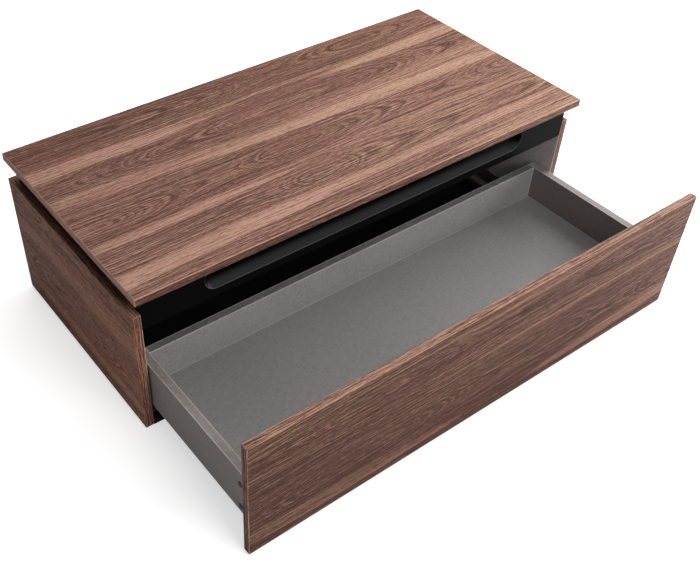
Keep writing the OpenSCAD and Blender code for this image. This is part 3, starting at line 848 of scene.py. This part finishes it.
def lift_springs():
    """Torsion springs: a close coil round each front pin, a leg down to the base plate, a short straight
    tail.
    """
    mesh = bmesh.new()
    pins = [corners for corners in islands("base_pivot_pins")
            if corners[1].x - corners[0].x > LONG_PIN * MM]
    plate_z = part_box("lift_springs")[0].z
    turns, steps, wire, radius = 6, 28, 1.35 * MM, 7.0 * MM
    margin = wire + 0.1 * MM
    for (low, high), (spring_low, spring_high) in zip(pins, islands("lift_springs")):
        centre = (low + high) / 2
        side = math.copysign(1.0, centre.x)
        start = max(abs(spring_low.x), abs(spring_high.x)) - margin
        pitch = (abs(spring_high.x - spring_low.x) - 2 * margin) / (turns - 1)
        path = [Vector((side * start, centre.y - radius, plate_z + wire)),
                Vector((side * start, centre.y - radius, centre.z - 8 * MM))]
        for step in range(int(steps * (turns - 0.75)) + 1):
            turn = 2 * math.pi * step / steps
            spot = Vector((side * (start - pitch * step / steps), centre.y - radius * math.cos(turn),
                           centre.z + radius * math.sin(turn)))
            path.append(spot)
        tail = (path[-1] - path[-2]).normalized()
        path += [path[-1] + tail * reach * MM for reach in (1.5, 3.5, 5.5)]
        tube(mesh, path, wire)
    make_piece("torsion_springs", mesh, "cabinet", "spring_steel", "lift_springs")


def drawer_clips():
    """Moulded locking clips with ribs and a squeeze lever."""
    mesh = bmesh.new()
    for low, high in islands("drawer_clips"):
        body_back = low.y + 60 * MM
        block(mesh, (low.x, low.y, low.z), (high.x, body_back, high.z), 1.5 * MM)
        for rib in range(7):
            y = low.y + (9 + 7 * rib) * MM
            block(mesh, (low.x + 3 * MM, y, low.z - 0.6 * MM),
                  (high.x - 3 * MM, y + 2.5 * MM, low.z + 1 * MM), 0.5 * MM, 2)
        # the lever stands nearer to the clip's inner side
        if low.x > 0:
            left, right = low.x + 8 * MM, low.x + 18 * MM
        else:
            left, right = high.x - 18 * MM, high.x - 8 * MM
        block(mesh, (left, body_back - 2 * MM, high.z - 9 * MM),
              (right, high.y, high.z - 3 * MM), 1.8 * MM)
        for rib in range(4):
            y = high.y - (5 + 3 * rib) * MM
            block(mesh, (left + 1 * MM, y, high.z - 9.6 * MM),
                  (right - 1 * MM, y + 1.2 * MM, high.z - 8 * MM), 0.3 * MM, 2)
    make_piece("locking_clips", mesh, "drawer", "black_plastic", "drawer_clips")


def runner_end_caps():
    """Moulded end stops with a round notch below and a raised rib on top."""
    mesh = bmesh.new()
    for low, high in islands("runner_end_caps"):
        middle = low.y + 17 * MM
        reach = 3.5 * MM
        notch = [(middle + reach * math.cos(turn), low.z + 1 * MM + reach * math.sin(turn))
                 for turn in (math.radians(15 * step) for step in range(-1, 14))]
        outline = [(low.y, low.z), (low.y, high.z), (high.y, high.z), (high.y, low.z)] + notch
        face = mesh.faces.new([mesh.verts.new((low.x, y, max(z, low.z))) for y, z in outline])
        solid = bmesh.ops.extrude_face_region(mesh, geom=[face])
        moved = [item for item in solid["geom"] if isinstance(item, bmesh.types.BMVert)]
        bmesh.ops.translate(mesh, vec=(high.x - low.x, 0, 0), verts=moved)
        block(mesh, (low.x + 3 * MM, low.y + 3 * MM, high.z - 1 * MM),
              (high.x - 3 * MM, high.y - 6 * MM, high.z + 0.1 * MM), 0.4 * MM, 2)
    long_edges = [edge for edge in mesh.edges if edge.calc_length() > 4 * MM]
    bmesh.ops.bevel(mesh, geom=long_edges, offset=0.5 * MM, segments=2, profile=0.5, affect="EDGES")
    make_piece("end_stops", mesh, "runner_slides", "black_plastic", "runner_end_caps")


def weld_beads():
    """Rippled beads where the cross tube meets the front arms."""
    low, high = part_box("cross_tube")
    centre = (low + high) / 2
    bead = high.x - 1.2 * MM
    radius = (high.z - low.z) / 2 + 0.2 * MM
    steps, corners = 56, 10
    mesh = bmesh.new()
    for side in (1, -1):
        rings = []
        for step in range(steps):
            turn = 2 * math.pi * step / steps
            bulge = (1.25 + 0.22 * math.sin(turn * 19) + 0.1 * math.sin(turn * 7 + side)) * MM
            ring = []
            for corner in range(corners):
                round_bead = 2 * math.pi * corner / corners
                out = radius + bulge * math.sin(round_bead)
                ring.append(mesh.verts.new((side * (bead + bulge * math.cos(round_bead)),
                                            centre.y + out * math.cos(turn),
                                            centre.z + out * math.sin(turn))))
            rings.append(ring)
        for step in range(steps):
            lower, upper = rings[step], rings[(step + 1) % steps]
            for corner in range(corners):
                after = (corner + 1) % corners
                mesh.faces.new((lower[corner], lower[after], upper[after], upper[corner]))
    make_piece("weld_beads", mesh, "front_arms", "black_steel")


# turned profiles, as (radius, height) in millimetres
COVER_CAP = [(0, -1), (7, -1), (7, -0.45), (6.6, 0), (5.6, 0), (5.2, -0.2), (0, -0.2)]
FLOOR_GLIDE = [(0, -3), (9, -3), (9, -1.2), (8.4, -0.4), (7.0, 0), (2.4, 0), (2.0, -0.6), (0, -0.6)]
RUBBER_BUMPER = [(0, -2.7), (6, -2.7), (6, -1.6), (5.5, -0.6), (4.4, 0), (1.6, 0), (1.3, -0.3),
                 (0, -0.3)]

SCREW_HEAD_MESH = screw_head_mesh()
screws("cabinet_frame_screws", "frame_screws", "cabinet", inward)
screws("runner_rail_screws", "runner_screws", "cabinet", inward)
screws("base_plate_screws", "lift_base_screws", "cabinet", upward)
screws("bracket_screws", "top_screws", "top", downward)
screws("box_screws", "drawer_screws", "drawer", outward)
turned_set("cover_caps", "cam_covers", "drawer", "grey_plastic", COVER_CAP, outward)
turned_set("floor_glides", "glides", "cabinet", "black_plastic", FLOOR_GLIDE, downward)
turned_set("rubber_bumpers", "top_bumpers", "cabinet", "rubber", RUBBER_BUMPER, upward)
cam_fasteners()
pivot_pins("base_pins", "base_pivot_pins", "cabinet")
pivot_pins("arm_pins", "rear_arm_pins", "rear_arms")
pivot_pins("bracket_rivets", "bracket_pins", "top")
lift_springs()
drawer_clips()
runner_end_caps()
weld_beads()


# ---------------------------------------------------------------- camera, floor and light
def place_camera():
    """The camera of the reference view, with its lens shift."""
    data = bpy.data.cameras.new("camera")
    data.sensor_width = 36.0
    data.lens = 48.9
    data.shift_x = 0.0834
    data.shift_y = 0.0258
    data.clip_end = 50.0
    camera = bpy.data.objects.new("camera", data)
    bpy.context.scene.collection.objects.link(camera)
    turn, tilt, roll = (math.radians(angle) for angle in (-37.39, 42.80, 1.32))
    stand = Matrix.Translation((-1.1311, -1.4454, 1.5491))
    camera.matrix_world = (stand @ Matrix.Rotation(turn, 4, "Z")
                           @ Matrix.Rotation(math.radians(90) - tilt, 4, "X")
                           @ Matrix.Rotation(roll, 4, "Z"))
    bpy.context.scene.camera = camera


def place_floor():
    """A pale floor that runs out to white far from the table."""
    bpy.ops.mesh.primitive_plane_add(size=24.0, location=(0.0, 0.0, 0.0))
    floor = bpy.context.object
    floor.name = "floor"
    g = Graph("floor")
    diffuse = g.node("ShaderNodeBsdfDiffuse", {"Color": (0.86, 0.86, 0.86, 1.0)})
    path = g.node("ShaderNodeLightPath")
    spot = g.coordinates("Object")
    far = g.smooth(g.hypot(spot[X], spot[Y]), 1.5, 5.0)
    lift = g.mul(path.outputs["Is Camera Ray"], g.add(0.60, g.mul(far, 0.40)))
    glow = g.node("ShaderNodeEmission", {"Color": (1.0, 1.0, 1.0, 1.0), "Strength": lift})
    both = g.node("ShaderNodeAddShader")
    g.tree.links.new(diffuse.outputs[0], both.inputs[0])
    g.tree.links.new(glow.outputs[0], both.inputs[1])
    g.tree.links.new(both.outputs[0], g.output.inputs[0])
    floor.data.materials.append(g.material)


# soft square lights: name, place, the point each looks at, side length and power in watts
LIGHTS = (
    ("key", (2.6, -0.6, 0.7), (0.0, -0.3, 0.2), 1.4, 87.0),
    ("overhead", (0.0, 0.0, 2.6), (0.0, -0.1, 0.0), 2.4, 14.0),
    ("overhead_right", (2.2, 0.2, 2.2), (0.0, -0.1, 0.1), 1.6, 45.0),
    ("front", (0.0, -2.8, 2.4), (0.0, -0.3, 0.1), 1.8, 56.0),
    ("back", (0.3, 1.6, 2.6), (0.0, 0.0, 0.2), 1.8, 24.0),
    ("left", (-2.5, -1.6, 0.5), (-0.5, 0.0, 0.2), 1.4, 10.0))


def area_light(name, location, target, size, power):
    data = bpy.data.lights.new(name, "AREA")
    data.shape = "SQUARE"
    data.size = size
    data.energy = power
    light = bpy.data.objects.new(name, data)
    bpy.context.scene.collection.objects.link(light)
    light.location = location
    gaze = Vector(target) - Vector(location)
    light.rotation_euler = gaze.to_track_quat("-Z", "Y").to_euler()


def place_lights():
    """The area lights, and a world that is white behind the scene but hardly lights it."""
    world = bpy.data.worlds.new("studio")
    world.use_nodes = True
    backdrop = world.node_tree.nodes["Background"]
    backdrop.inputs[0].default_value = (1.0, 1.0, 1.0, 1.0)
    path = world.node_tree.nodes.new("ShaderNodeLightPath")
    strength = world.node_tree.nodes.new("ShaderNodeMapRange")
    strength.inputs["To Min"].default_value = 0.01
    strength.inputs["To Max"].default_value = 1.0
    world.node_tree.links.new(path.outputs["Is Camera Ray"], strength.inputs["Value"])
    world.node_tree.links.new(strength.outputs["Result"], backdrop.inputs[1])
    bpy.context.scene.world = world
    for light in LIGHTS:
        area_light(*light)
    bpy.context.scene.view_settings.view_transform = "Standard"


place_camera()
place_floor()
place_lights()
